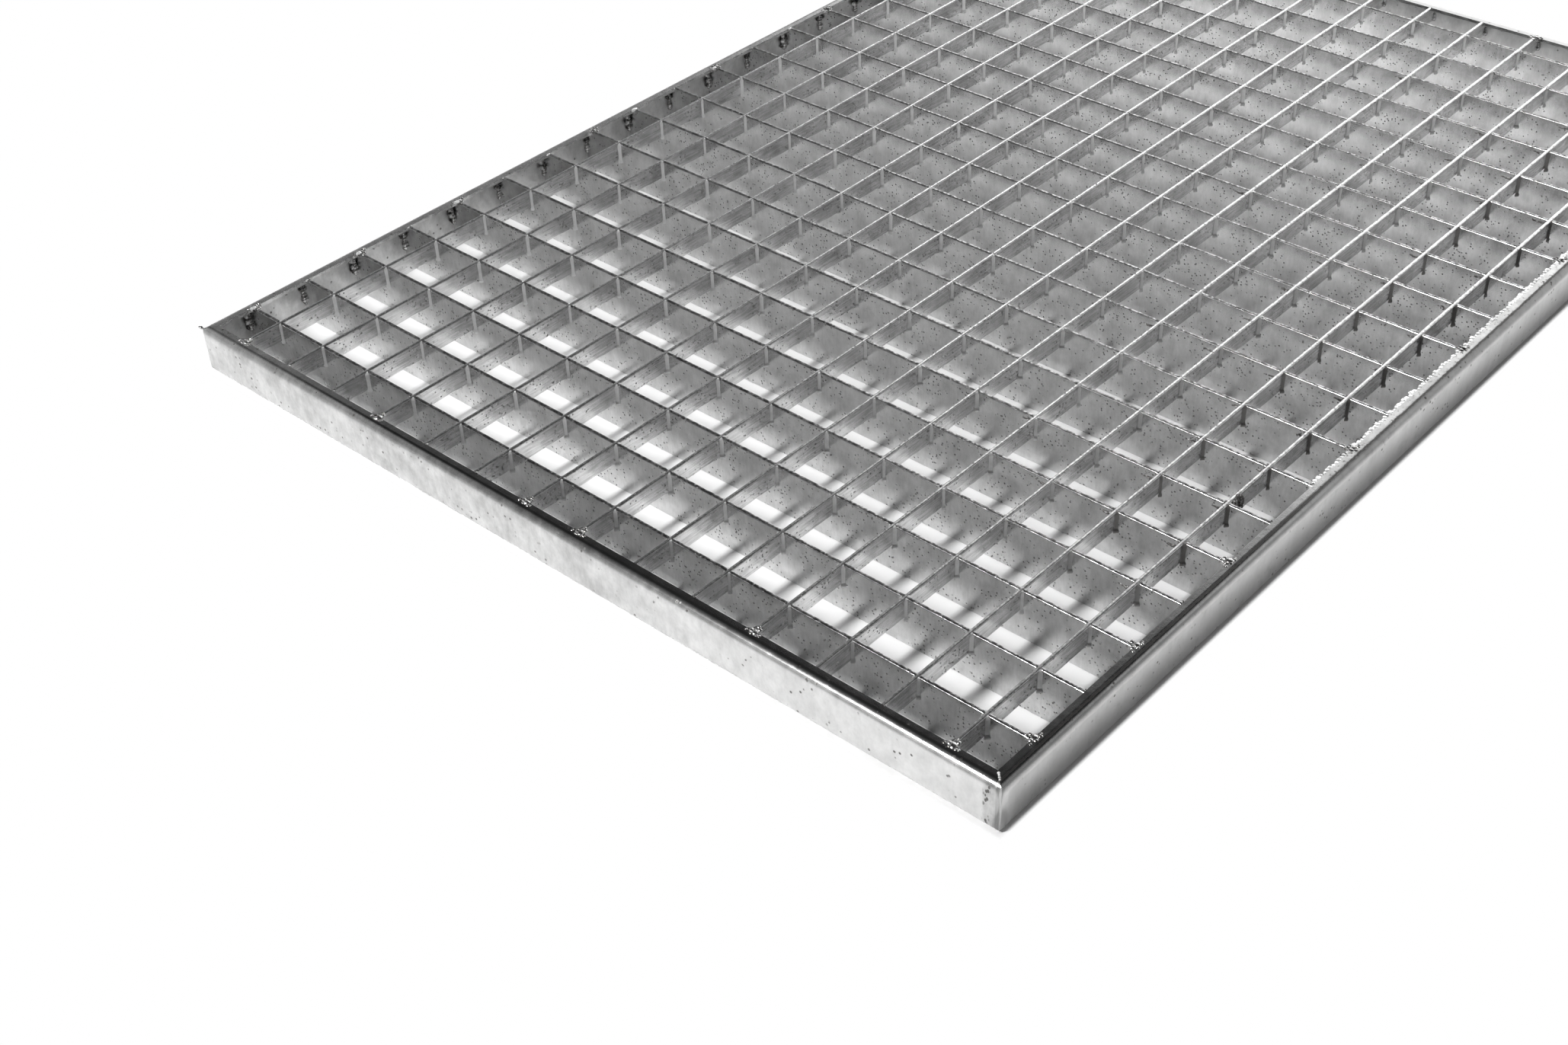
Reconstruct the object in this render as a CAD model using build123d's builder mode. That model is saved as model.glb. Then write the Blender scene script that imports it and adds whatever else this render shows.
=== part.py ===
from build123d import *
import os

# Hot-dip galvanised floor grating. Deep bearing bars are slotted from above, shallow cross bars
# are pressed into the slots flush with their tops, and a rolled channel edges the mat all round.
# The channel is four lengths, mitred at the corners and welded up the inside of each corner.
# The bar ends are notched to enter it, and drops of weld hold them to its web, behind the lip.
# The bars beside the corners, and about every third one between, also have weld fillets at the
# lip's edge.
# The origin is the middle of the underside: X runs along the bearing bars, Y along the cross
# bars and Z up. All sizes are in millimetres.

# Overall size
width = 490.0
length = 690.0
depth = 25.0

# The mesh, from the middle of one bar to the middle of the next
mesh_pitch = 100.0 / 3.0

# Flat bars, and the room that a slot leaves on each side of a cross bar
bearing_thickness = 2.0
cross_thickness = 2.0
cross_depth = 10.0
slot_clearance = 0.05

# Rolled edging channel, and the room between its lips and the notched bar ends
channel_wall = 2.0
lip_width = 7.0
fold_inner_radius = 2.5
corner_radius = 5.0
lip_clearance = 0.05

# Drops of weld at the bar ends: each has a short point below and a long tail above, and both
# taper to drop_end_width
bearing_drop_radius = 2.2
bearing_drop_below_top = 12.0
cross_drop_radius = 1.5
cross_drop_below_top = 7.5
tail_below_lip = 0.5
drop_end_width = 0.4

# Weld fillets where a bar passes the lip's inner edge, and which bars, counted from one, have them
lip_fillet_radius = 3.5
lip_fillet_depth = 1.6
filleted_bearing_bars = (1, 3, 5, 8, 11, 14, 17, 20)
filleted_cross_bars = (1, 4, 7, 8, 11, 14)

# Run of weld up each inside corner of the edging
corner_weld_radius = 3.0

# Places that follow from the sizes above
web_inside_x = width / 2 - channel_wall
web_inside_y = length / 2 - channel_wall
lip_inside_x = width / 2 - lip_width
lip_inside_y = length / 2 - lip_width
fold_outer_radius = channel_wall + fold_inner_radius
slot_bottom = depth - cross_depth
tongue_bottom = channel_wall + lip_clearance
tongue_top = depth - channel_wall - lip_clearance
web_flat_bottom = channel_wall + fold_inner_radius
web_flat_top = depth - channel_wall - fold_inner_radius

# How many bars fit the mesh, and where the middle of each one is
bearing_count = round(length / mesh_pitch) - 1
cross_count = round(width / mesh_pitch) - 1
bearing_places = [(i - (bearing_count - 1) / 2) * mesh_pitch for i in range(bearing_count)]
cross_places = [(i - (cross_count - 1) / 2) * mesh_pitch for i in range(cross_count)]

os.makedirs("parts", exist_ok=True)


def write(builder, label):
    """Names a finished piece and writes its file."""
    builder.part.label = label
    export_step(builder.part, f"parts/{label}.step")


# The edging is four mitred lengths of channel. Each is drawn in section at the middle of its
# side, reach from the grating's middle, and drawn out both ways to the corners. The sharp edge
# that the mitres leave at each corner is rounded off, all the way up.
def edging_strip(label, outward, reach, run):
    along = outward.cross(Vector(0, 0, -1))
    with BuildPart() as strip:
        with BuildSketch(Plane(origin=outward * reach, x_dir=-outward, z_dir=along)):
            with BuildLine():
                Polyline(
                    (0, 0),
                    (lip_width, 0),
                    (lip_width, channel_wall),
                    (channel_wall, channel_wall),
                    (channel_wall, depth - channel_wall),
                    (lip_width, depth - channel_wall),
                    (lip_width, depth),
                    (0, depth),
                    close=True,
                )
            make_face()
            fillet(vertices().group_by(Axis.X)[0], radius=fold_outer_radius)
            fillet(vertices().group_by(Axis.X)[1], radius=fold_inner_radius)
        extrude(amount=run / 2, both=True)
        for end in (-1, 1):
            corner = outward * reach + along * (end * run / 2)
            split(bisect_by=Plane(origin=corner, z_dir=along * end - outward), keep=Keep.BOTTOM)
        with BuildSketch(Plane.XY.offset(depth / 2)):
            RectangleRounded(width, length, corner_radius)
        extrude(amount=depth, both=True, mode=Mode.INTERSECT)
    write(strip, label)


edging_strip("edging_front", Vector(0, -1, 0), length / 2, width)
edging_strip("edging_rear", Vector(0, 1, 0), length / 2, width)
edging_strip("edging_left", Vector(-1, 0, 0), width / 2, length)
edging_strip("edging_right", Vector(1, 0, 0), width / 2, length)


# Deep bearing bars, slotted from above for every cross bar. A tongue at each end is low enough
# to enter the channel between its lips, and its corners clear the channel's inner folds.
def bearing_bar(label, place):
    with BuildPart() as bar:
        with BuildSketch(Plane.XZ.offset(-place)):
            with Locations((0, tongue_bottom)):
                Rectangle(2 * web_inside_x, tongue_top - tongue_bottom, align=(Align.CENTER, Align.MIN))
            chamfer(vertices(), length=fold_inner_radius)
            Rectangle(2 * (lip_inside_x - lip_clearance), depth, align=(Align.CENTER, Align.MIN))
            with Locations([(x, slot_bottom) for x in cross_places]):
                slot_width = cross_thickness + 2 * slot_clearance
                Rectangle(slot_width, cross_depth, align=(Align.CENTER, Align.MIN), mode=Mode.SUBTRACT)
        extrude(amount=bearing_thickness / 2, both=True)
    write(bar, label)


for number, place in enumerate(bearing_places, 1):
    bearing_bar(f"bearing_bar_{number:02d}", place)


# Shallow cross bars, which stand on the floors of the slots. Their tongues are cut from the top
# only, because their undersides are well above the channel's lower lip.
def cross_bar(label, place):
    with BuildPart() as bar:
        with BuildSketch(Plane.YZ.offset(place)):
            with Locations((0, slot_bottom)):
                Rectangle(2 * web_inside_y, tongue_top - slot_bottom, align=(Align.CENTER, Align.MIN))
            chamfer(vertices().group_by(Axis.Y)[-1], length=fold_inner_radius)
            with Locations((0, slot_bottom)):
                Rectangle(2 * (lip_inside_y - lip_clearance), cross_depth, align=(Align.CENTER, Align.MIN))
        extrude(amount=cross_thickness / 2, both=True)
    write(bar, label)


for number, place in enumerate(cross_places, 1):
    cross_bar(f"cross_bar_{number:02d}", place)


# A drop of weld fills an upright corner between a bar's side and the web. It is widest at its
# middle, and its tail ends just below the lip's fold.
def weld_drop(radius, below_top):
    middle = depth - below_top
    tip = web_flat_top - tail_below_lip
    sections = ((middle - radius, drop_end_width), (middle, radius), (tip, drop_end_width))
    with BuildPart() as drop:
        for height, width_there in sections:
            with BuildSketch(Plane.XY.offset(height)):
                with BuildLine():
                    Polyline((0, 0), (width_there, 0), (0, width_there), close=True)
                make_face()
        loft(ruled=True)
    return drop.part


# Weld fillets and corner runs are flat below and above, with a hollow face between two walls
def hollow_fillet(radius, bottom, top):
    with BuildPart() as run:
        with BuildSketch(Plane.XY.offset(bottom)):
            with BuildLine():
                CenterArc((radius, radius), radius, start_angle=180, arc_size=90)
                Polyline((radius, 0), (0, 0), (0, radius))
            make_face()
        extrude(amount=top - bottom)
    return run.part


def weld_group(label, weld, corners):
    """Copies one weld to each corner, given as x, y and the turn that faces it into the corner."""
    with BuildPart() as group:
        with Locations([Location((x, y, 0), (0, 0, turn)) for x, y, turn in corners]):
            add(weld)
    write(group, label)


# The drops lie on the bars' front and right-hand sides
bearing_drop = weld_drop(bearing_drop_radius, bearing_drop_below_top)
cross_drop = weld_drop(cross_drop_radius, cross_drop_below_top)
bearing_sides = [place - bearing_thickness / 2 for place in bearing_places]
cross_sides = [place + cross_thickness / 2 for place in cross_places]
weld_group("end_welds_left", bearing_drop, [(-web_inside_x, y, -90) for y in bearing_sides])
weld_group("end_welds_right", bearing_drop, [(web_inside_x, y, 180) for y in bearing_sides])
weld_group("end_welds_front", cross_drop, [(x, -web_inside_y, 0) for x in cross_sides])
weld_group("end_welds_rear", cross_drop, [(x, web_inside_y, -90) for x in cross_sides])

# The fillets lie on both sides of each bar that has them
def filleted(places, numbers):
    """The places of the bars with these numbers."""
    return [place for number, place in enumerate(places, 1) if number in numbers]


lip_fillet = hollow_fillet(lip_fillet_radius, depth - lip_fillet_depth, depth)
for label, edge_x, turns in (("left", -lip_inside_x, (-90, 0)), ("right", lip_inside_x, (180, 90))):
    corners = []
    for place in filleted(bearing_places, filleted_bearing_bars):
        corners.append((edge_x, place - bearing_thickness / 2, turns[0]))
        corners.append((edge_x, place + bearing_thickness / 2, turns[1]))
    weld_group(f"lip_fillets_{label}", lip_fillet, corners)
for label, edge_y, turns in (("front", -lip_inside_y, (90, 0)), ("rear", lip_inside_y, (180, -90))):
    corners = []
    for place in filleted(cross_places, filleted_cross_bars):
        corners.append((place - cross_thickness / 2, edge_y, turns[0]))
        corners.append((place + cross_thickness / 2, edge_y, turns[1]))
    weld_group(f"lip_fillets_{label}", lip_fillet, corners)

# One run of weld up each inside corner of the edging, between the folds of its lips
corner_run = hollow_fillet(corner_weld_radius, web_flat_bottom, web_flat_top)
inside_corners = [
    (-web_inside_x, -web_inside_y, 0),
    (web_inside_x, -web_inside_y, 90),
    (web_inside_x, web_inside_y, 180),
    (-web_inside_x, web_inside_y, -90),
]
weld_group("corner_welds", corner_run, inside_corners)
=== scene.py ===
import math
import random

import bmesh
import bpy
from bpy.props import FloatProperty, FloatVectorProperty, IntProperty, PointerProperty
from mathutils import Matrix, Vector, noise


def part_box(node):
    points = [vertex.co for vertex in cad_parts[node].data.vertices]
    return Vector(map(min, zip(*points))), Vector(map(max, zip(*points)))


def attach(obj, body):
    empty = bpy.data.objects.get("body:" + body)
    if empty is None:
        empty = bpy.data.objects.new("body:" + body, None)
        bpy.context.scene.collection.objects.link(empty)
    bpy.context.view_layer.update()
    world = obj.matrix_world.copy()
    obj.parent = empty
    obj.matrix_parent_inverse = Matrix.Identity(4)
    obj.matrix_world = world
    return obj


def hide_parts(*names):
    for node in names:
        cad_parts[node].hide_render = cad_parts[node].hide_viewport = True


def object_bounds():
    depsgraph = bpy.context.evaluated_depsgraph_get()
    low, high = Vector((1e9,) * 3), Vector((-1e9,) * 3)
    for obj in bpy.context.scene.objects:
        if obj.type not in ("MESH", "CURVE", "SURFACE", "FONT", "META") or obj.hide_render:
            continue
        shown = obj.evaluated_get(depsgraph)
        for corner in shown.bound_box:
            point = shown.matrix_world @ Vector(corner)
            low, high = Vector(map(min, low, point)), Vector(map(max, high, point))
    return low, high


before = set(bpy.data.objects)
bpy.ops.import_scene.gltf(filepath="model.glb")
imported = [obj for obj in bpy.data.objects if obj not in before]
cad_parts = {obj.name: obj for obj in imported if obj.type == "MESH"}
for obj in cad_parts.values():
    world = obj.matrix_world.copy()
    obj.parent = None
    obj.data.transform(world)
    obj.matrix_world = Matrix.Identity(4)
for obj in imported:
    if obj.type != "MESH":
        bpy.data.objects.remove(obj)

bl_info = {
    "name": "Galvanised Grating",
    "version": (1, 0, 0),
    "blender": (4, 5, 0),
    "location": "View3D > Sidebar > Grating",
    "description": "Dresses a pressed, galvanised floor grating in zinc, in a pale studio",
    "category": "Object",
}

# All sizes are in metres, in the frame's own axes: X along the bearing bars, Y along the cross
# bars, Z up from the floor. Sizes that the frame gives are read from it.
MM = 0.001
FRAME_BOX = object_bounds()
BEARING_BARS = sorted(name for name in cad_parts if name.startswith("bearing_bar_"))
CROSS_BARS = sorted(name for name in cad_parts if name.startswith("cross_bar_"))
SIDES = ("front", "rear", "left", "right")
EDGING = [f"edging_{side}" for side in SIDES]


def middle_of(node):
    """The middle of a frame node's box."""
    low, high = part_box(node)
    return (low + high) / 2


TOP = FRAME_BOX[1].z
HALF_WIDTH = FRAME_BOX[1].x
HALF_LENGTH = FRAME_BOX[1].y
BEARING_PLACES = [middle_of(name).y for name in BEARING_BARS]
CROSS_PLACES = [middle_of(name).x for name in CROSS_BARS]
CROSS_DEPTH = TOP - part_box(CROSS_BARS[0])[0].z
HALF_BAR = (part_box(BEARING_BARS[0])[1].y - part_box(BEARING_BARS[0])[0].y) / 2
LIP_WIDTH = HALF_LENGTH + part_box("lip_fillets_front")[0].y
LIP_EDGE_X, LIP_EDGE_Y = HALF_WIDTH - LIP_WIDTH, HALF_LENGTH - LIP_WIDTH
LEFT_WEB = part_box("end_welds_left")[0].x

# The bars with weld fillets at the lip's edge, counted from one
WELDED_BEARING_BARS = (1, 3, 5, 8, 11, 14, 17, 20)
WELDED_CROSS_BARS = (1, 4, 7, 8, 11, 14)

# How the meshes are made
EDGE_SEGMENTS = 4
SHARP_ANGLE = math.radians(40)
MERGE_DISTANCE = 0.002 * MM
FLAT_ANGLE = math.radians(0.5)
LEVEL_GAP = 0.01 * MM
STRAIGHT_SHARE = 0.98
SQUARE_ANGLE = 1.0

# Where the looks of the zinc change. The materials count in millimetres, so these do too.
RIGHT_MM, FRONT_MM, TOP_MM = HALF_WIDTH / MM, -HALF_LENGTH / MM, TOP / MM
DULL_LIP_X = (-90.0, -210.0)
# Painted light: the span along the front over which its near end is painted paler
PAINTED_LIGHT_FRONT_X = (-60.0, 235.0)
ROUGH_LIP_Y = (-150.0, -90.0)
# Painted shade: where the runs at the right-hand front are painted dark
SHADED_RUNS_X, SHADED_RUNS_Y = (135.0, 190.0), (-250.0, -190.0)

# The studio
FLOOR_HALF_SIZE = 8.0
WHITE_BESIDE = (-0.0005, 0.0015)
MIRRORED_AHEAD, MIRRORED_ROUND = (0.0, 0.03), (0.03, 0.20)
MIRRORED_LEVEL = 0.75
KEY_PLACE = (-0.162, -1.0, 0.82)
FILL_PLACE, FILL_SIZE = (0.0, 0.25, 0.9), (0.9, 0.9)
BACK_PLACE, BACK_SIZE = (-0.05, 0.56, 0.54), (0.3, 0.22)
CAMERA_PLACE = (0.5533, -0.7796, 0.5705)
CAMERA_TURN = (51.6086, 2.0518, 41.7461)
SENSOR_WIDTH = 36.0
NEAREST_SEEN = 0.01


# ---------------------------------------------------------------------------------------------
# Settings
# ---------------------------------------------------------------------------------------------


class GratingZinc(bpy.types.PropertyGroup):
    """Sizes and colours of the zinc coat and the welds under it."""

    edge_round: FloatProperty(
        name="Edge Round", description="Radius of the zinc over the bearing bars' long edges",
        default=0.6 * MM, min=0.1 * MM, max=0.95 * MM, precision=5, unit="LENGTH",
    )
    cross_round: FloatProperty(
        name="Cross Round", description="Radius of the zinc over the cross bars' long edges",
        default=0.62 * MM, min=0.1 * MM, max=0.95 * MM, precision=5, unit="LENGTH",
    )
    run_size: FloatProperty(
        name="Run Size", description="Reach of the zinc that runs down where two bars cross",
        default=1.15 * MM, min=0.3 * MM, max=3 * MM, precision=5, unit="LENGTH",
    )
    bead_size: FloatProperty(
        name="Bead Size", description="Radius of the weld beads at the edging",
        default=1.9 * MM, min=0.5 * MM, max=4 * MM, precision=5, unit="LENGTH",
    )
    burr_length: FloatProperty(
        name="Burr Length", description="Length of the zinc icicle at the left-hand corner",
        default=3.2 * MM, min=0.0, max=8 * MM, precision=5, unit="LENGTH",
    )
    seed: IntProperty(
        name="Seed", description="Picks how the drips and beads vary", default=7, min=0,
    )
    bar_colour: FloatVectorProperty(
        name="Bar Colour", description="Zinc on the bars", subtype="COLOR", size=3,
        default=(0.61, 0.61, 0.61), min=0.0, max=1.0,
    )
    edging_colour: FloatVectorProperty(
        name="Edging Colour", description="Zinc on the edging", subtype="COLOR", size=3,
        default=(0.69, 0.69, 0.687), min=0.0, max=1.0,
    )
    # Also the colour of the painted shade on the runs at the right-hand front
    stain_and_shade_colour: FloatVectorProperty(
        name="Stain Colour", description="Flux stains and pits in the zinc", subtype="COLOR",
        size=3, default=(0.10, 0.095, 0.09), min=0.0, max=1.0,
    )


class GratingStudio(bpy.types.PropertyGroup):
    """Floor, lights and camera."""

    floor_colour: FloatVectorProperty(
        name="Floor Colour", description="Pale floor under the grating", subtype="COLOR",
        size=3, default=(0.93, 0.93, 0.93), min=0.0, max=1.0,
    )
    key_power: FloatProperty(
        name="Key Power", description="Power of the soft lamp to the left of the camera",
        default=12.5, min=0.0, unit="POWER",
    )
    key_width: FloatProperty(
        name="Key Width", description="Width of the soft lamp", default=0.17, min=0.02,
        unit="LENGTH",
    )
    key_height: FloatProperty(
        name="Key Height", description="Height of the soft lamp", default=0.26, min=0.02,
        unit="LENGTH",
    )
    fill_power: FloatProperty(
        name="Fill Power", description="Power of the wide panel overhead", default=6.1,
        min=0.0, unit="POWER",
    )
    back_power: FloatProperty(
        name="Back Power", description="Power of the soft lamp behind the grating",
        default=3.5, min=0.0, unit="POWER",
    )
    lens: FloatProperty(
        name="Lens", description="Focal length on a 36 mm wide sensor", default=47.7,
        min=10.0, max=200.0, unit="CAMERA",
    )


# ---------------------------------------------------------------------------------------------
# Shader nodes
# ---------------------------------------------------------------------------------------------


class Wire:
    """One output of a node tree. Arithmetic on it adds Math nodes."""

    def __init__(self, tree, socket):
        self.tree = tree
        self.socket = socket

    def __add__(self, other):
        return self.tree.math("ADD", self, other)

    __radd__ = __add__

    def __sub__(self, other):
        return self.tree.math("SUBTRACT", self, other)

    def __rsub__(self, other):
        return self.tree.math("SUBTRACT", other, self)

    def __mul__(self, other):
        return self.tree.math("MULTIPLY", self, other)

    __rmul__ = __mul__

    def clamped(self):
        """Kept between 0 and 1."""
        return self.tree.math("ADD", self, 0.0, clamp=True)

    def spread(self, share):
        """Noise about a half made into values about zero, which reach about share each way."""
        return (self - 0.5) * (4.0 * share)

    def rise(self, low, high):
        """0 below low, 1 above high and smooth between them. It falls where low is the higher."""
        inputs = {"Value": self, "From Min": min(low, high), "From Max": max(low, high)}
        if low > high:
            inputs.update({"To Min": 1.0, "To Max": 0.0})
        return self.tree.add("ShaderNodeMapRange", {"interpolation_type": "SMOOTHSTEP"}, inputs)


class NodeTree:
    """Builds the node tree of a material or of the world."""

    def __init__(self, owner):
        owner.use_nodes = True
        self.tree = owner.node_tree
        self.tree.nodes.clear()

    def add(self, kind, settings=None, inputs=None, output=0):
        """Adds a node, sets it, gives its sockets their values or links, and returns an output."""
        node = self.tree.nodes.new(kind)
        for name, value in (settings or {}).items():
            setattr(node, name, value)
        for name, value in (inputs or {}).items():
            if isinstance(value, Wire):
                self.tree.links.new(value.socket, node.inputs[name])
            else:
                node.inputs[name].default_value = value
        return Wire(self, node.outputs[output]) if node.outputs else node

    def math(self, operation, *values, clamp=False):
        """A Math node on numbers and wires."""
        settings = {"operation": operation, "use_clamp": clamp}
        return self.add("ShaderNodeMath", settings, dict(enumerate(values)))

    def mix(self, factor, first, second):
        """A colour between first and second."""
        settings = {"data_type": "RGBA", "clamp_factor": True}
        return self.add("ShaderNodeMix", settings, {0: factor, 6: first, 7: second}, output=2)

    def place(self, scale=(1, 1, 1)):
        """Object coordinates in millimetres, stretched by scale on each axis."""
        coords = self.add("ShaderNodeTexCoord", output="Object")
        scaled = tuple(1000.0 * part for part in scale)
        return self.add("ShaderNodeMapping", None, {"Vector": coords, "Scale": scaled})

    def part(self, vector, axis):
        """One axis of a vector."""
        return self.add("ShaderNodeSeparateXYZ", None, {"Vector": vector}, output=axis)

    def parts(self, vector, axes):
        """Some axes of a vector."""
        return tuple(self.part(vector, axis) for axis in axes)

    def noise(self, size, detail=3.0, roughness=0.5, stretch=(1, 1, 1), shift=0.0):
        """Noise whose lumps are about size millimetres across, times stretch on each axis."""
        scale = tuple(1.0 / (size * part) for part in stretch)
        inputs = {
            "Vector": self.place(scale), "W": shift, "Scale": 1.0, "Detail": detail,
            "Roughness": roughness,
        }
        return self.add("ShaderNodeTexNoise", {"noise_dimensions": "4D"}, inputs)

    def cells(self, size, stretch=(1, 1, 1)):
        """The distance to the middle of cells about size millimetres across, times stretch."""
        scale = tuple(1.0 / (size * part) for part in stretch)
        inputs = {"Vector": self.place(scale), "Scale": 1.0}
        return self.add("ShaderNodeTexVoronoi", {"feature": "F1"}, inputs, output="Distance")

    def bump(self, height, strength, distance, normal=None):
        """A normal that height disturbs, with distance in millimetres."""
        inputs = {"Height": height, "Strength": strength, "Distance": distance * MM}
        if normal is not None:
            inputs["Normal"] = normal
        return self.add("ShaderNodeBump", None, inputs)

    def finish_zinc(self, colour, roughness, normal, metallic=1.0):
        """Ends a material with a metal surface."""
        inputs = {
            "Base Color": colour, "Roughness": roughness, "Normal": normal, "Metallic": metallic,
        }
        shader = self.add("ShaderNodeBsdfPrincipled", None, inputs)
        self.add("ShaderNodeOutputMaterial", None, {"Surface": shader})


def rgba(colour, shade=1.0):
    """A colour made darker or paler by shade."""
    return (*(part * shade for part in colour), 1.0)


def pits(tree, spacing, share, reach):
    """A mask of small dark pits that lie in loose groups."""
    dots = tree.cells(spacing).rise(reach, reach * 0.45)
    threshold = 1.0 - share
    groups = tree.noise(9.0, 2.0, 0.6, shift=3.1).rise(threshold, threshold + 0.08)
    return dots * groups


def bar_zinc(name, colour, stain_and_shade, streak, contrast, painted_top_shades):
    """Zinc on a bar's faces: satin, faintly cloudy, streaked along one axis, with dark pits, and a
    painted reflection on its top face.
    """
    tree = NodeTree(bpy.data.materials.new(name))
    clouds = tree.noise(16.0, 3.0, 0.55)
    blotches = tree.noise(5.0, 3.0, 0.6, shift=1.7)
    streaks = tree.noise(0.7, 3.0, 0.6, stretch=streak, shift=2.3)
    grain = tree.noise(0.7, 3.0, 0.65, shift=4.9)
    specks = pits(tree, 1.9, 0.55, 0.30)
    top_face = tree.part(tree.place(), "Z").rise(TOP_MM - 0.35, TOP_MM - 0.15)
    dashes = tree.noise(1.0, 3.0, 0.6, stretch=(1.2, 1.2, 1), shift=6.6).rise(0.44, 0.58)
    tone = 0.62 + clouds.spread(0.35) + blotches.spread(0.30) + streaks.spread(contrast)
    pale = tree.mix(tone.clamped(), rgba(colour, 0.66), rgba(colour, 1.12))
    # Painted reflection on the top face: dashes in the zinc pick between two painted shades,
    # mostly dark on the bearing bars and pale on the cross bars
    painted_top_reflection = tree.mix(dashes, *(rgba(colour, shade) for shade in painted_top_shades))
    coat_with_painted_reflection = tree.mix(top_face, pale, painted_top_reflection)
    coat = tree.mix(specks * 0.85, coat_with_painted_reflection, rgba(stain_and_shade))
    roughness = 0.15 + blotches * 0.08 + streaks * 0.06 + specks * 0.3
    lines = tree.bump(streaks, 0.15, 0.02)
    fine = tree.bump(grain - specks * 0.8 + dashes * top_face, 0.20, 0.02, lines)
    tree.finish_zinc(coat, roughness, fine)


def edging_zinc(name, colour, stain_and_shade):
    """Zinc on the rolled edging: mottled on the web, rough and glittering round its folds."""
    tree = NodeTree(bpy.data.materials.new(name))
    clouds = tree.noise(22.0, 4.0, 0.6)
    blotches = tree.noise(6.0, 4.0, 0.65, stretch=(1, 1, 1.3), shift=5.2)
    drips = tree.noise(2.2, 3.0, 0.6, stretch=(1, 1, 5), shift=8.4)
    grain = tree.noise(0.8, 4.0, 0.7, shift=2.2)
    crust = tree.noise(1.4, 4.0, 0.7, shift=9.6)
    specks = pits(tree, 3.2, 0.47, 0.27)
    across, along, height = tree.parts(tree.place(), "XYZ")

    # Where it is on the edging
    shoulder = height.rise(TOP_MM - 2.6, TOP_MM - 0.5)
    lip = height.rise(TOP_MM - 0.30, TOP_MM - 0.12)
    right = across.rise(RIGHT_MM - 9.0, RIGHT_MM - 7.0)
    right_web = across.rise(RIGHT_MM - 3.2, RIGHT_MM - 2.7)
    dull = across.rise(*DULL_LIP_X) * (1.0 - right)
    rough = (dull * 0.7 + right * along.rise(*ROUGH_LIP_Y)).clamped()
    near_end = across.rise(*PAINTED_LIGHT_FRONT_X) * (1.0 - right)

    # Dark marks: crumbs on the lip, a ragged dark line along the right-hand lip's shoulder, and a
    # column of specks on the front web beside the near corner
    crumbs = crust.rise(0.55, 0.66) * lip * (0.25 + 0.75 * right)
    ragged = across + (crust - 0.5) * 1.6
    ragged_dark_line = ragged.rise(RIGHT_MM - 4.0, RIGHT_MM - 3.6)
    ragged_dark_line = ragged_dark_line * ragged.rise(RIGHT_MM - 2.6, RIGHT_MM - 3.0) * shoulder
    column = across.rise(RIGHT_MM - 9.0, RIGHT_MM - 7.5)
    column = column * across.rise(RIGHT_MM - 4.5, RIGHT_MM - 6.0)
    column = column * along.rise(FRONT_MM + 1.0, FRONT_MM + 0.2)
    column = column * tree.cells(1.5, stretch=(1, 1, 1.6)).rise(0.50, 0.30)
    dark = (specks + crumbs * rough * 0.8 + ragged_dark_line * 0.9 + column).clamped()

    # The coat under them: painted light makes the front's near end paler, painted shade darkens
    # the right-hand web, and a painted reflection darkens the lips
    tone = 0.55 + clouds.spread(0.4) + blotches.spread(0.55) + drips.spread(0.15)
    clean = tree.mix(tone.clamped(), rgba(colour, 0.63), rgba(colour, 1.06))
    # Painted light: the front's near end is painted paler
    clean = tree.mix(near_end * 0.42, clean, rgba(colour, 1.34))
    # Painted shade: the right-hand web is painted darker, most towards its bottom and at its top
    # fold
    low = height.rise(TOP_MM - 4.0, 6.0) * 0.5 + blotches.spread(0.35) + 0.25
    fold = height.rise(TOP_MM - 5.0, TOP_MM - 2.0) * 0.6
    pale = tree.mix((right_web * (low + fold)).clamped(), clean, rgba(colour, 0.48))
    # Painted reflection: the flat of the lips is painted dark, less where the zinc is rough
    coat_with_painted_reflection = tree.mix(lip * (1.0 - rough) * 0.75, pale, rgba(colour, 0.42))
    coat = tree.mix(dark * 0.88, coat_with_painted_reflection, rgba(stain_and_shade))
    roughness = 0.30 + blotches * 0.10 + dark * 0.2 - shoulder * 0.19 + rough * shoulder * 0.15
    waves = tree.bump(clouds + blotches * 0.5, 0.12, 0.5)
    lumps = tree.bump(crust * (shoulder * (0.28 + rough * 0.4)), 0.30, 0.20, waves)
    fine = tree.bump(grain - dark * 0.8, 0.22, 0.05, lumps)
    tree.finish_zinc(coat, roughness, fine)


def run_zinc(name, colour, stain_and_shade):
    """Zinc that has run and set: smooth, bright and a little wavy, with painted shade towards the
    right-hand front.
    """
    tree = NodeTree(bpy.data.materials.new(name))
    waves = tree.noise(2.2, 2.0, 0.5, shift=7.7)
    grain = tree.noise(0.5, 3.0, 0.6, shift=0.6)
    across, along = tree.parts(tree.place(), "XY")
    # Painted shade: the runs towards the right-hand front are painted dark with the stain colour
    painted_shade = across.rise(*SHADED_RUNS_X) * along.rise(*SHADED_RUNS_Y)
    fresh = tree.mix(waves, rgba(colour, 0.85), rgba(colour, 1.15))
    coat = tree.mix(painted_shade * 0.85, fresh, rgba(stain_and_shade, 1.3))
    roughness = 0.26 + grain * 0.14
    coarse = tree.bump(waves, 0.2, 0.10)
    fine = tree.bump(grain, 0.2, 0.02, coarse)
    tree.finish_zinc(coat, roughness, fine, metallic=0.6)


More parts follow.
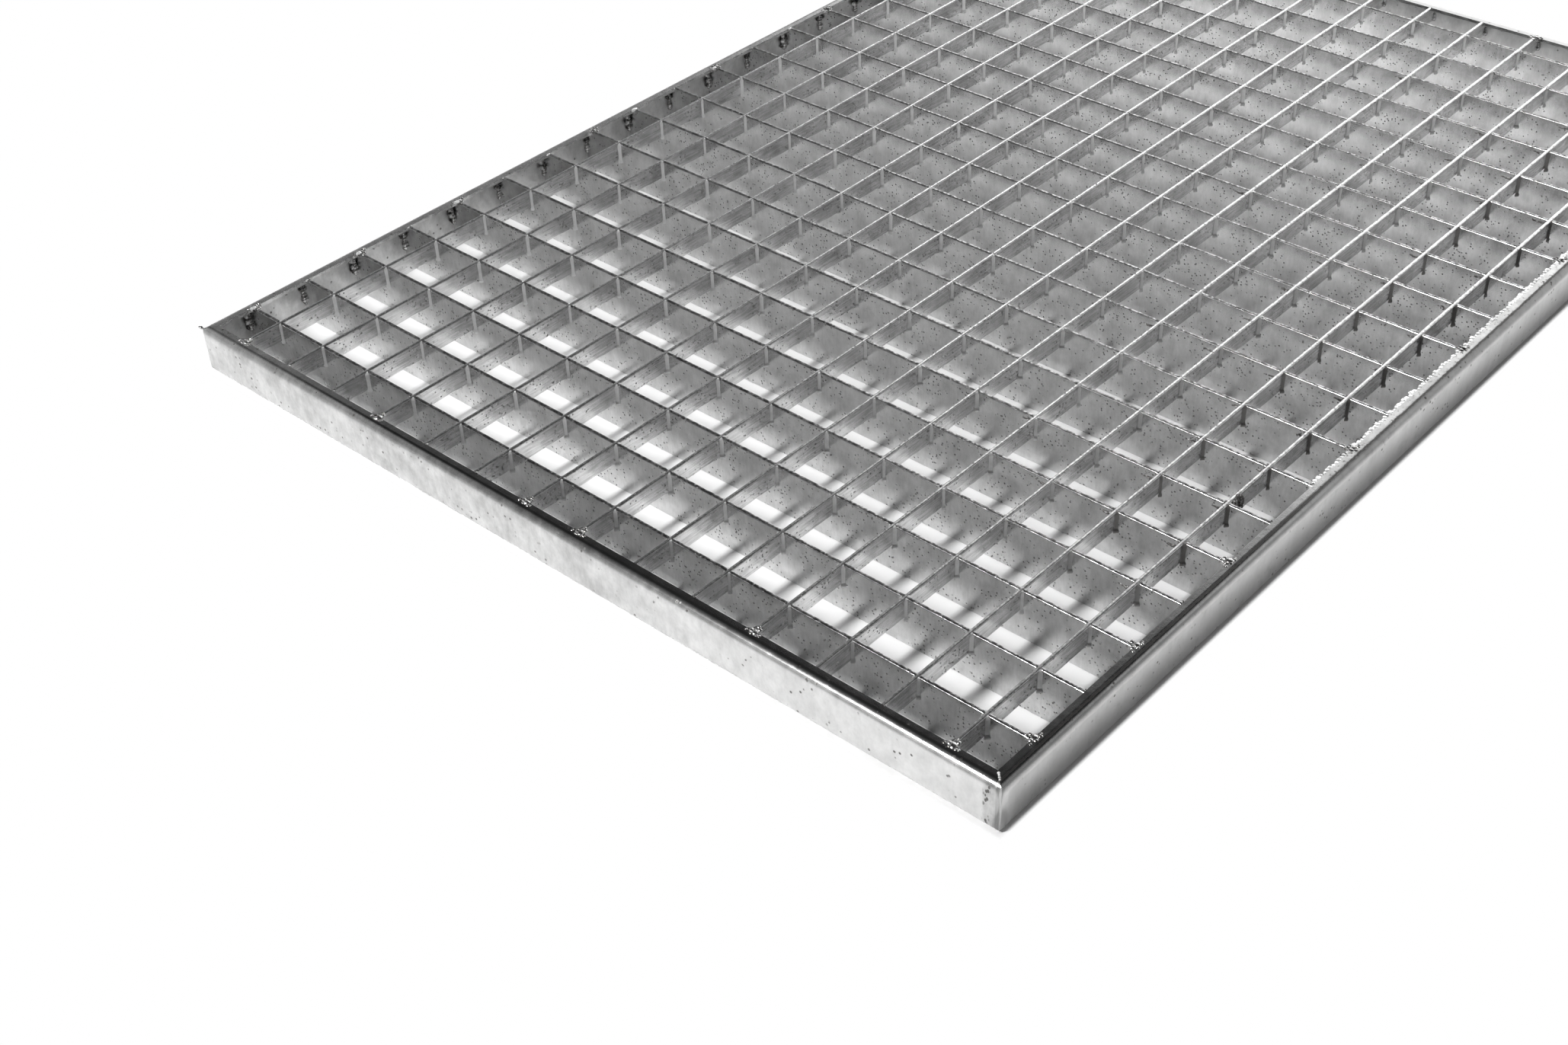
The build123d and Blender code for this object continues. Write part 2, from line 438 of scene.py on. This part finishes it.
def bead_zinc(name, colour):
    """A bead of zinc that set round and clean: pale, smooth and shiny."""
    tree = NodeTree(bpy.data.materials.new(name))
    lumps = tree.noise(1.4, 3.0, 0.6, shift=8.8)
    coat = tree.mix(lumps.rise(0.35, 0.6), rgba(colour, 0.75), rgba(colour, 1.35))
    roughness = 0.16 + lumps * 0.12
    coarse = tree.bump(lumps, 0.4, 0.2)
    tree.finish_zinc(coat, roughness, coarse, metallic=0.55)


def dross_zinc(name, colour, stain_and_shade):
    """Dross in the zinc: nearly black, dull and crumbly, with a few bright points."""
    tree = NodeTree(bpy.data.materials.new(name))
    lumps = tree.noise(0.9, 3.0, 0.6, shift=3.3)
    coat = tree.mix(lumps.rise(0.50, 0.66), rgba(stain_and_shade, 0.8), rgba(colour, 0.9))
    roughness = 0.35 + lumps * 0.2
    coarse = tree.bump(lumps, 0.6, 0.25)
    tree.finish_zinc(coat, roughness, coarse, metallic=0.7)


def weld_zinc(name, colour, stain_and_shade):
    """Zinc over weld metal: bright, lumpy, and dark in its hollows."""
    tree = NodeTree(bpy.data.materials.new(name))
    lumps = tree.noise(1.1, 3.0, 0.6, shift=6.5)
    grain = tree.noise(0.35, 3.0, 0.6, shift=1.1)
    tone = lumps.rise(0.32, 0.62)
    coat = tree.mix(tone, rgba(stain_and_shade, 2.2), rgba(colour, 1.15))
    roughness = 0.16 + grain * 0.14
    coarse = tree.bump(lumps, 0.6, 0.25)
    fine = tree.bump(grain, 0.3, 0.04, coarse)
    tree.finish_zinc(coat, roughness, fine)


# ---------------------------------------------------------------------------------------------
# Meshes
# ---------------------------------------------------------------------------------------------


def node_mesh(node):
    """A merged copy of a frame node's mesh, with its flat faces made whole."""
    mesh = bmesh.new()
    mesh.from_mesh(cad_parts[node].data)
    bmesh.ops.remove_doubles(mesh, verts=mesh.verts, dist=MERGE_DISTANCE)
    bmesh.ops.dissolve_limit(
        mesh, angle_limit=FLAT_ANGLE, verts=mesh.verts, edges=mesh.edges
    )
    return mesh


def make_piece(mesh, name, material, replaced=()):
    """Turns a bmesh into a finished piece that rides on the frame."""
    data = bpy.data.meshes.new(name)
    mesh.normal_update()
    mesh.to_mesh(data)
    mesh.free()
    data.shade_smooth()
    data.set_sharp_from_angle(angle=SHARP_ANGLE)
    data.materials.append(bpy.data.materials[material])
    piece = bpy.data.objects.new(name, data)
    bpy.context.scene.collection.objects.link(piece)
    flatten = piece.modifiers.new("Flat Faces", "WEIGHTED_NORMAL")
    flatten.keep_sharp = True
    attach(piece, "root")
    if replaced:
        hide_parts(*replaced)


def round_long_edges(mesh, along, reach):
    """Rounds the edges at the top and bottom of a bar that run along one axis, 0 or 1."""
    low = min(vertex.co.z for vertex in mesh.verts)
    heights = (TOP, low)
    edges = []
    for edge in mesh.edges:
        first, second = (vertex.co for vertex in edge.verts)
        run = second - first
        level = any(abs(first.z - height) < LEVEL_GAP for height in heights)
        straight = abs(run[along]) > STRAIGHT_SHARE * run.length
        if level and straight and edge.calc_face_angle(0) > SQUARE_ANGLE:
            edges.append(edge)
    bmesh.ops.bevel(
        mesh, geom=edges, offset=reach, segments=EDGE_SEGMENTS, profile=0.5,
        affect="EDGES", material=-1, clamp_overlap=True,
    )


def add_blob(mesh, place, size, rng, uneven=0.16, detail=2):
    """Adds one lump of zinc: a ball stretched to size, and pulled in and out unevenly."""
    ball = bmesh.ops.create_icosphere(mesh, subdivisions=detail, radius=1.0)["verts"]
    start = Vector((rng.uniform(0, 50), rng.uniform(0, 50), rng.uniform(0, 50)))
    for vertex in ball:
        vertex.co *= 1 + uneven * noise.noise(vertex.co * 1.4 + start)
    bmesh.ops.scale(mesh, verts=ball, vec=Vector(size))
    bmesh.ops.translate(mesh, verts=ball, vec=Vector(place))


def some_mm(rng, low, high):
    """A random length between low and high millimetres, in metres."""
    return MM * rng.uniform(low, high)


def zinc_run(reach, depth):
    """A hollow fillet that fills an upright corner, from z = 0 down, and ends in a drop."""
    mesh = bmesh.new()
    start = mesh.verts.new((reach, 0, 0))
    bmesh.ops.spin(
        mesh, geom=[start], cent=(reach, reach, 0), axis=(0, 0, -1), angle=math.pi / 2,
        steps=4, use_merge=False, dvec=(0, 0, 0),
    )
    mesh.verts.new((0, 0, 0))
    mesh.verts.ensure_lookup_table()
    face = bmesh.ops.contextual_create(mesh, geom=list(mesh.verts))["faces"][0]
    # How far down each section is, as a share of the depth, and its width, of the reach
    level, size = 0.0, 0.55
    sections = (
        (0.09, 1.0), (0.5, 0.86), (0.86, 0.92), (0.98, 1.35), (1.08, 1.2), (1.13, 0.35),
    )
    bmesh.ops.scale(mesh, verts=face.verts, vec=(size, size, 1))
    for share, width in sections:
        grown = bmesh.ops.extrude_face_region(mesh, geom=[face])["geom"]
        face = next(item for item in grown if isinstance(item, bmesh.types.BMFace))
        verts = list(face.verts)
        bmesh.ops.translate(mesh, verts=verts, vec=(0, 0, -(share - level) * depth))
        bmesh.ops.scale(mesh, verts=verts, vec=(width / size, width / size, 1))
        level, size = share, width
    bmesh.ops.recalc_face_normals(mesh, faces=mesh.faces)
    data = bpy.data.meshes.new("zinc_run")
    mesh.to_mesh(data)
    mesh.free()
    return data


def add_copy(mesh, data, matrix):
    """Adds a placed copy of a mesh."""
    before = len(mesh.verts)
    mesh.from_mesh(data)
    mesh.verts.ensure_lookup_table()
    bmesh.ops.transform(mesh, matrix=matrix, verts=mesh.verts[before:])


# ---------------------------------------------------------------------------------------------
# Operators
# ---------------------------------------------------------------------------------------------


class GRATING_OT_finishes(bpy.types.Operator):
    """Makes the zinc finishes that the pieces wear"""

    bl_idname = "grating.finishes"
    bl_label = "Make Finishes"

    def execute(self, context):
        zinc = context.scene.grating_zinc
        bars, edging, stain_and_shade = zinc.bar_colour, zinc.edging_colour, zinc.stain_and_shade_colour
        # The last pair of numbers is the painted reflection on the bars' tops: dark on the bearing
        # bars, pale on the cross bars
        bar_zinc("Bearing Bar Zinc", bars, stain_and_shade, (1.6, 1.6, 8), 0.22, (0.18, 0.95))
        # Painted light: the cross bars' zinc is painted paler than the bearing bars' to stand in
        # for light on their faces
        paler = [shade * 1.12 for shade in bars]
        bar_zinc("Cross Bar Zinc", paler, stain_and_shade, (1, 18, 1), 0.70, (0.85, 1.3))
        edging_zinc("Edging Zinc", edging, stain_and_shade)
        run_zinc("Run Zinc", bars, stain_and_shade)
        dross_zinc("Dross Zinc", bars, stain_and_shade)
        weld_zinc("Weld Zinc", bars, stain_and_shade)
        bead_zinc("Bright Bead Zinc", edging)
        return {"FINISHED"}


class GRATING_OT_bars(bpy.types.Operator):
    """Dresses the bearing bars and the cross bars, with zinc rounded over their long edges"""

    bl_idname = "grating.bars"
    bl_label = "Dress Bars"

    def execute(self, context):
        zinc = context.scene.grating_zinc
        for bars, slot, material, along, reach in (
            (BEARING_BARS, "bearing_bars", "Bearing Bar Zinc", 0, zinc.edge_round),
            (CROSS_BARS, "cross_bars", "Cross Bar Zinc", 1, zinc.cross_round),
        ):
            for node in bars:
                mesh = node_mesh(node)
                round_long_edges(mesh, along, reach)
                make_piece(mesh, node.replace("bar", "bar_zinc"), material, [node])
        return {"FINISHED"}


class GRATING_OT_edging(bpy.types.Operator):
    """Dresses the four lengths of rolled edging"""

    bl_idname = "grating.edging"
    bl_label = "Dress Edging"

    def execute(self, context):
        for node in EDGING:
            mesh = node_mesh(node)
            make_piece(mesh, f"{node}_zinc", "Edging Zinc", [node])
        return {"FINISHED"}


class GRATING_OT_crossings(bpy.types.Operator):
    """Adds the zinc that has run down and set in the corners where the bars cross"""

    bl_idname = "grating.crossings"
    bl_label = "Add Zinc At Crossings"

    # Shares of the run size and of the cross bars' depth, and radii in millimetres
    reaches, depths = (0.8, 1.25), (0.94, 1.06)
    bump_radii = (0.45, 0.8)

    def execute(self, context):
        zinc = context.scene.grating_zinc
        rng = random.Random(zinc.seed)
        run = zinc_run(1.0, 1.0)
        runs = bmesh.new()
        for y in BEARING_PLACES:
            for x in CROSS_PLACES:
                for turn in range(4):
                    reach = zinc.run_size * rng.uniform(*self.reaches)
                    depth = CROSS_DEPTH * rng.uniform(*self.depths)
                    corner = Vector((HALF_BAR, HALF_BAR, TOP - zinc.edge_round * 0.6))
                    place = (
                        Matrix.Translation((x, y, 0))
                        @ Matrix.Rotation(turn * math.pi / 2, 4, "Z")
                        @ Matrix.Translation(corner)
                        @ Matrix.Diagonal((reach, reach, depth, 1))
                    )
                    add_copy(runs, run, place)
        bpy.data.meshes.remove(run)
        make_piece(runs, "zinc_runs", "Run Zinc")
        bumps = bmesh.new()
        for y in BEARING_PLACES:
            for x in CROSS_PLACES:
                for side, far in ((1, -1), (rng.choice((-1, 1)), 1)):
                    size = some_mm(rng, *self.bump_radii)
                    across, along = side * HALF_BAR * 1.1, far * HALF_BAR * 0.85
                    spot = (x + across, y + along, TOP - 0.35 * MM)
                    add_blob(bumps, spot, (size, size, size * 0.8), rng, detail=1)
        make_piece(bumps, "zinc_bumps", "Run Zinc")
        return {"FINISHED"}


class GRATING_OT_end_welds(bpy.types.Operator):
    """Adds the drops of weld that hold the bar ends to the edging's web"""

    bl_idname = "grating.end_welds"
    bl_label = "Add End Welds"

    # Radii of the lumps in a drop, from its tail down, as shares of the widest, and how they vary
    swells = (0.55, 0.62, 0.7, 0.8, 1.0, 0.9)
    widest = 1.55 * MM
    variation = (0.85, 1.15)

    def execute(self, context):
        zinc = context.scene.grating_zinc
        rng = random.Random(zinc.seed + 1)
        for side, inward, places, width in (
            ("front", (0, 1), CROSS_PLACES, 0.7), ("rear", (0, -1), CROSS_PLACES, 0.7),
            ("left", (1, 0), BEARING_PLACES, 1.0), ("right", (-1, 0), BEARING_PLACES, 1.0),
        ):
            drops = bmesh.new()
            low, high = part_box(f"end_welds_{side}")
            for place in places:
                if inward[0]:
                    edge = low.x if inward[0] > 0 else high.x
                    corner = Vector((edge, place - HALF_BAR, 0))
                    out = Vector((inward[0], -1, 0))
                else:
                    edge = low.y if inward[1] > 0 else high.y
                    corner = Vector((place + HALF_BAR, edge, 0))
                    out = Vector((1, inward[1], 0))
                for step, swell in enumerate(self.swells):
                    share = step / (len(self.swells) - 1)
                    size = self.widest * (swell * rng.uniform(*self.variation)) * width
                    spot = corner + out * size * 0.35
                    spot.z = high.z - share * (high.z - low.z) * 0.86 - 0.3 * MM
                    add_blob(drops, spot, (size, size, size * 1.25), rng)
            make_piece(
                drops, f"end_weld_beads_{side}", "Weld Zinc", [f"end_welds_{side}"]
            )
        return {"FINISHED"}


class GRATING_OT_lip_welds(bpy.types.Operator):
    """Adds the beads of weld where bars pass the edging's lip, and the dots at the other bars"""

    bl_idname = "grating.lip_welds"
    bl_label = "Add Lip Welds"

    # The lumps on a fillet: along the lip and out over it from the corner where the bar passes
    # the lip's edge, and their radius, all as shares of the bead size
    lumps = (
        (0.55, 0.1, 0.95), (-0.55, -0.05, 0.7), (1.55, 0.75, 0.5), (2.1, 0.5, 0.42),
        (0.85, -1.15, 0.55), (0.15, -1.7, 0.42), (0.0, 0.75, 0.6), (-1.5, 0.55, 0.38),
    )
    variation = (0.8, 1.15)
    # The dots at the other bars: how likely one is, and their radii in millimetres
    dot_chance = 0.7
    dot_radii = (0.5, 0.8)

    def execute(self, context):
        zinc = context.scene.grating_zinc
        rng = random.Random(zinc.seed + 2)
        for side, across, edge, places, welded in (
            ("front", Vector((0, -1, 0)), LIP_EDGE_Y, CROSS_PLACES, WELDED_CROSS_BARS),
            ("rear", Vector((0, 1, 0)), LIP_EDGE_Y, CROSS_PLACES, WELDED_CROSS_BARS),
            ("left", Vector((-1, 0, 0)), LIP_EDGE_X, BEARING_PLACES, WELDED_BEARING_BARS),
            ("right", Vector((1, 0, 0)), LIP_EDGE_X, BEARING_PLACES, WELDED_BEARING_BARS),
        ):
            beads = node_mesh(f"lip_fillets_{side}")
            along = Vector((abs(across.y), abs(across.x), 0))
            for number, place in enumerate(places, 1):
                corner = along * place + across * edge + Vector((0, 0, TOP))
                if number in welded:
                    self.add_beads(beads, corner, along, across, zinc.bead_size, rng)
                elif rng.random() < self.dot_chance:
                    size = some_mm(rng, *self.dot_radii)
                    spot = corner + along * HALF_BAR - across * 0.3 * MM
                    spot.z -= 0.3 * MM
                    add_blob(beads, spot, (size, size, size), rng, detail=1)
            make_piece(
                beads, f"lip_weld_beads_{side}", "Weld Zinc", [f"lip_fillets_{side}"]
            )
        return {"FINISHED"}

    def add_beads(self, mesh, corner, along, across, size, rng):
        """Lumps on a fillet: over its root, on the lip at both its ends, and on the bar's top."""
        for side, out, share in self.lumps:
            radius = size * share * rng.uniform(*self.variation)
            spot = corner + along * side * size + across * out * size
            spot.z -= radius * 0.25
            add_blob(mesh, spot, (radius, radius, radius * 0.62), rng, 0.3)


class GRATING_OT_corners(bpy.types.Operator):
    """Adds the welds and zinc at the edging's mitred corners"""

    bl_idname = "grating.corners"
    bl_label = "Add Corner Welds"

    # How many lumps go up a corner and out along a mitre, and their radii in millimetres
    lumps_up, up_radii = 9, (1.4, 2.0)
    lumps_out, out_radii = 4, (0.4, 0.65)

    def execute(self, context):
        zinc = context.scene.grating_zinc
        rng = random.Random(zinc.seed + 3)
        beads, mitres = bmesh.new(), bmesh.new()
        low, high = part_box("corner_welds")
        for side_x in (-1, 1):
            for side_y in (-1, 1):
                outward = Vector((side_x, side_y, 0))
                inner = Vector((side_x * high.x, side_y * high.y, 0))
                for step in range(self.lumps_up):
                    spot = inner - outward * 0.8 * MM
                    spot.z = low.z + (high.z - low.z) * step / (self.lumps_up - 1)
                    size = some_mm(rng, *self.up_radii)
                    add_blob(beads, spot, (size, size, size * 1.2), rng)
                if side_x > side_y:
                    # Only the near corner's mitre has beads
                    lip = Vector((side_x * LIP_EDGE_X, side_y * LIP_EDGE_Y, TOP - 0.15 * MM))
                    for step in range(self.lumps_out):
                        spot = lip + outward * (1.0 + step * 0.8) * MM
                        size = some_mm(rng, *self.out_radii)
                        add_blob(mitres, spot, (size, size, size), rng, 0.25)
        make_piece(beads, "corner_weld_beads", "Weld Zinc", ["corner_welds"])
        make_piece(mitres, "mitre_beads", "Bright Bead Zinc")
        return {"FINISHED"}


class GRATING_OT_drips(bpy.types.Operator):
    """Adds the icicle at the left-hand corner, and the zinc and dross caught on bars and edging"""

    bl_idname = "grating.drips"
    bl_label = "Add Drips"

    # Where spikes may be, bars counted from one, and the bars that the clump lies beside
    spiked_cross_bars = range(10, 15)
    spiked_bearing_bars = range(4, 19)
    clump_cross_bar, clump_bearing_bar = 14, 6
    # The crumbs on the right-hand lip: how many, the first one's place along Y, and their spacing
    crumb_count = 190
    first_crumb = -0.118
    crumb_spacing = 2.4 * MM
    # Sizes, in millimetres
    spike_lengths, spike_depths = (3.0, 7.0), (2.4, 4.5)
    clump_radii, clump_reach = (1.6, 2.4), 3.0
    dross_radii, dross_spacing, dross_sway = (0.8, 1.4), 1.7, 0.6
    crumb_radii, crumb_thickness, lip_overhang = (0.9, 1.7), 0.42, (0.0, 1.1)
    lip_bead_radii, low_bead_radii, low_bead_depths = (1.2, 2.3), (0.9, 1.4), (5.0, 8.5)

    def execute(self, context):
        zinc = context.scene.grating_zinc
        rng = random.Random(zinc.seed + 4)
        self.add_icicle(zinc.burr_length, rng)
        self.add_spikes(rng)
        self.add_left_dross(rng)
        self.add_lip_crust(rng)
        self.add_left_beads(rng)
        return {"FINISHED"}

    def add_icicle(self, length, rng):
        """A burr of zinc that points outwards and up from the left-hand front corner."""
        icicle = bmesh.new()
        corner = Vector((-HALF_WIDTH + 1.2 * MM, -HALF_LENGTH + 1.2 * MM, TOP - 0.6 * MM))
        for step in range(6):
            share = step / 5
            spot = corner + Vector((-0.45, -0.45, 0.42)) * length * share * 0.6
            size = MM * (1.1 - 0.75 * share)
            add_blob(icicle, spot, (size, size, size * 0.8), rng)
        make_piece(icicle, "zinc_icicle", "Weld Zinc")

    def add_spikes(self, rng):
        """Spikes of dross at the crossings towards the right, and one clump by the last bar."""
        spikes = bmesh.new()
        for number in self.spiked_cross_bars:
            x = CROSS_PLACES[number - 1]
            chance = 0.15 + 0.16 * (number - 9)
            for bearing_number in self.spiked_bearing_bars:
                y = BEARING_PLACES[bearing_number - 1]
                if rng.random() < chance:
                    self.add_spike(spikes, Vector((x - HALF_BAR, y - HALF_BAR, TOP)), rng)
        x = CROSS_PLACES[self.clump_cross_bar - 1] + HALF_BAR * 1.3
        y = BEARING_PLACES[self.clump_bearing_bar - 1] + 6.2 * MM
        for step in range(9):
            turn = math.radians(-70 + step * 28)
            round_it = Vector((0.0, math.cos(turn), math.sin(turn))) * self.clump_reach * MM
            size = some_mm(rng, *self.clump_radii)
            spot = Vector((x, y, TOP - 4 * MM)) + round_it
            add_blob(spikes, spot, (size * 0.8, size, size), rng, 0.3)
        make_piece(spikes, "dross_spikes", "Dross Zinc")

    def add_spike(self, mesh, corner, rng):
        """A thin spike of dross that points away from a crossing, on the bearing bar's face."""
        length = some_mm(rng, *self.spike_lengths)
        level = -some_mm(rng, *self.spike_depths)
        for step in range(5):
            share = step / 4
            size = MM * (1.15 - 0.75 * share) * rng.uniform(0.8, 1.2)
            spot = corner + Vector((-share * length, -size * 0.25, level))
            spot.z += some_mm(rng, -0.3, 0.3)
            add_blob(mesh, spot, (length * 0.2, size * 0.8, size * 0.7), rng, 0.35, detail=1)

    def add_left_dross(self, rng):
        """Dark runs down the left-hand web beside the bars' ends, longer at every other bar."""
        dross = bmesh.new()
        for number, y in enumerate(BEARING_PLACES):
            edge = Vector((LEFT_WEB, y - HALF_BAR, TOP))
            sway = 0.0
            for step in range(3 if number % 2 else 6):
                sway += rng.uniform(-self.dross_sway, self.dross_sway)
                thick = some_mm(rng, *self.dross_radii)
                spot = edge + Vector((0.7, sway - 1.6, -3.4 - self.dross_spacing * step)) * MM
                add_blob(dross, spot, (thick, thick, thick * 1.2), rng, 0.35, detail=1)
        make_piece(dross, "dross_at_left_web", "Dross Zinc")

    def add_lip_crust(self, rng):
        """Flat crumbs along the inner edge of the right-hand lip, from near its middle back."""
        crust = bmesh.new()
        for step in range(self.crumb_count):
            x = LIP_EDGE_X - some_mm(rng, *self.lip_overhang)
            y = self.first_crumb + step * self.crumb_spacing
            size = some_mm(rng, *self.crumb_radii)
            crumb = (size, size * 1.1, MM * self.crumb_thickness)
            add_blob(crust, (x, y, TOP - 0.28 * MM), crumb, rng, 0.4, detail=1)
        make_piece(crust, "lip_crust_right", "Bright Bead Zinc")

    def add_left_beads(self, rng):
        """A bright bead on the left-hand lip's edge at each bar, and two below every other one."""
        beads = bmesh.new()
        for number, y in enumerate(BEARING_PLACES):
            spot = Vector((0.3 * MM - LIP_EDGE_X, y - HALF_BAR * 0.5, TOP - 0.3 * MM))
            reach = some_mm(rng, *self.lip_bead_radii) * (0.5 if number % 2 else 1.0)
            add_blob(beads, spot, (reach * 0.6, reach, reach * 0.45), rng, 0.3)
            if number % 2 == 0:
                for drop in self.low_bead_depths:
                    size = some_mm(rng, *self.low_bead_radii)
                    low = Vector((LEFT_WEB + 1.6 * MM, y - 3.4 * MM, TOP - drop * MM))
                    add_blob(beads, low, (size, size, size * 1.2), rng, 0.3)
        make_piece(beads, "bright_beads_left", "Bright Bead Zinc")


class GRATING_OT_stage(bpy.types.Operator):
    """Sets the floor, the studio's soft light and the camera"""

    bl_idname = "grating.stage"
    bl_label = "Set Stage"

    def execute(self, context):
        studio = context.scene.grating_studio
        self.add_floor(studio)
        key_size = (studio.key_width, studio.key_height)
        self.add_lamp("key_lamp", KEY_PLACE, key_size, studio.key_power, mirrored=True)
        self.add_lamp("fill_panel", FILL_PLACE, FILL_SIZE, studio.fill_power)
        self.add_lamp("back_lamp", BACK_PLACE, BACK_SIZE, studio.back_power)
        self.set_world(context.scene)
        self.add_camera(context.scene, studio)
        context.scene.view_settings.view_transform = "Standard"
        return {"FINISHED"}

    def add_floor(self, studio):
        """A wide floor that fades to white round the grating, and keeps its shadow near it."""
        mesh = bmesh.new()
        bmesh.ops.create_grid(mesh, x_segments=1, y_segments=1, size=FLOOR_HALF_SIZE)
        data = bpy.data.meshes.new("floor")
        mesh.to_mesh(data)
        mesh.free()
        tree = NodeTree(bpy.data.materials.new("Pale Floor"))
        grain = tree.noise(3.0, 2.0, 0.5)
        tint = tree.mix(grain, rgba(studio.floor_colour, 0.985), rgba(studio.floor_colour, 1.0))
        diffuse = tree.add("ShaderNodeBsdfDiffuse", None, {"Color": tint})
        white = tree.add("ShaderNodeEmission", None, {"Color": (1, 1, 1, 1), "Strength": 1.0})
        x, y = tree.parts(tree.add("ShaderNodeTexCoord", output="Object"), "XY")
        beside = tree.math("ABSOLUTE", x) - HALF_WIDTH
        beyond = tree.math("ABSOLUTE", y) - HALF_LENGTH
        away = tree.math("MAXIMUM", beside, beyond)
        ahead = -HALF_LENGTH - y
        rays = "ShaderNodeLightPath"
        mirrored = tree.add(rays, output="Is Glossy Ray")
        mirrored = (mirrored + tree.add(rays, output="Is Transmission Ray")).clamped()
        near = away.rise(*WHITE_BESIDE)
        far = tree.math("MAXIMUM", ahead.rise(*MIRRORED_AHEAD), away.rise(*MIRRORED_ROUND))
        factor = tree.add(rays, output="Is Camera Ray") * near + mirrored * far * MIRRORED_LEVEL
        shader = tree.add("ShaderNodeMixShader", None, {0: factor, 1: diffuse, 2: white})
        tree.add("ShaderNodeOutputMaterial", None, {"Surface": shader})
        data.materials.append(bpy.data.materials["Pale Floor"])
        floor = bpy.data.objects.new("floor", data)
        bpy.context.scene.collection.objects.link(floor)

    def add_lamp(self, name, place, size, power, mirrored=False):
        """A soft rectangular lamp that faces the middle of the grating."""
        data = bpy.data.lights.new(name, "AREA")
        data.shape = "RECTANGLE"
        data.size, data.size_y = size
        data.energy = power
        lamp = bpy.data.objects.new(name, data)
        lamp.location = place
        lamp.rotation_euler = (-lamp.location).to_track_quat("-Z", "Y").to_euler()
        lamp.visible_glossy = mirrored
        bpy.context.scene.collection.objects.link(lamp)

    def set_world(self, scene):
        """A dark studio, white to the camera itself.

        Beyond the grating it has a bright window and a pale wall under a dark ceiling, and a pale
        panel at the left behind the camera.
        """
        world = bpy.data.worlds.new("Studio Room")
        scene.world = world
        tree = NodeTree(world)
        x, y, z = tree.parts(tree.add("ShaderNodeTexCoord", output="Generated"), "XYZ")
        turn = tree.math("ARCTAN2", 0.0 - x, y)
        ahead = y.rise(-0.25, 0.15)
        below_ceiling, below_pane = z.rise(0.60, 0.52), z.rise(0.66, 0.57)
        window = turn.rise(0.75, 0.68) * turn.rise(-0.08, 0.02)
        wall = turn.rise(0.02, -0.08) * turn.rise(-0.85, -0.68)
        low, left = z.rise(0.45, 0.10), x.rise(-0.60, -0.76)
        front = 0.03 + below_ceiling * 0.31 + below_pane * (window * 1.6 + wall * 0.55)
        behind = 0.08 + low * 0.14 + left * 0.42
        level = ahead * front + (1.0 - ahead) * behind
        camera = tree.add("ShaderNodeLightPath", output="Is Camera Ray")
        strength = camera + (1.0 - camera) * level
        background = tree.add(
            "ShaderNodeBackground", None, {"Color": (1, 1, 1, 1), "Strength": strength}
        )
        tree.add("ShaderNodeOutputWorld", None, {"Surface": background})

    def add_camera(self, scene, studio):
        """A camera where the photo's was."""
        data = bpy.data.cameras.new("camera")
        data.lens = studio.lens
        data.sensor_width = SENSOR_WIDTH
        data.clip_start = NEAREST_SEEN
        camera = bpy.data.objects.new("camera", data)
        camera.location = CAMERA_PLACE
        camera.rotation_euler = tuple(math.radians(angle) for angle in CAMERA_TURN)
        scene.collection.objects.link(camera)
        scene.camera = camera


class GRATING_PT_panel(bpy.types.Panel):
    """Lists the grating's steps and settings"""

    bl_idname = "GRATING_PT_panel"
    bl_label = "Galvanised Grating"
    bl_space_type = "VIEW_3D"
    bl_region_type = "UI"
    bl_category = "Grating"

    def draw(self, context):
        column = self.layout.column()
        for settings in (context.scene.grating_zinc, context.scene.grating_studio):
            for name in settings.bl_rna.properties.keys():
                if name not in ("rna_type", "name"):
                    column.prop(settings, name)
        for step in STEPS:
            column.operator(step.bl_idname)


STEPS = (
    GRATING_OT_finishes,
    GRATING_OT_bars,
    GRATING_OT_edging,
    GRATING_OT_crossings,
    GRATING_OT_end_welds,
    GRATING_OT_lip_welds,
    GRATING_OT_corners,
    GRATING_OT_drips,
    GRATING_OT_stage,
)
CLASSES = (GratingZinc, GratingStudio, *STEPS, GRATING_PT_panel)


def register():
    for cls in CLASSES:
        bpy.utils.register_class(cls)
    bpy.types.Scene.grating_zinc = PointerProperty(type=GratingZinc)
    bpy.types.Scene.grating_studio = PointerProperty(type=GratingStudio)


def unregister():
    del bpy.types.Scene.grating_studio
    del bpy.types.Scene.grating_zinc
    for cls in reversed(CLASSES):
        bpy.utils.unregister_class(cls)


def main():
    register()
    bpy.ops.grating.finishes()
    bpy.ops.grating.bars()
    bpy.ops.grating.edging()
    bpy.ops.grating.crossings()
    bpy.ops.grating.end_welds()
    bpy.ops.grating.lip_welds()
    bpy.ops.grating.corners()
    bpy.ops.grating.drips()
    bpy.ops.grating.stage()


if __name__ == "__main__":
    main()
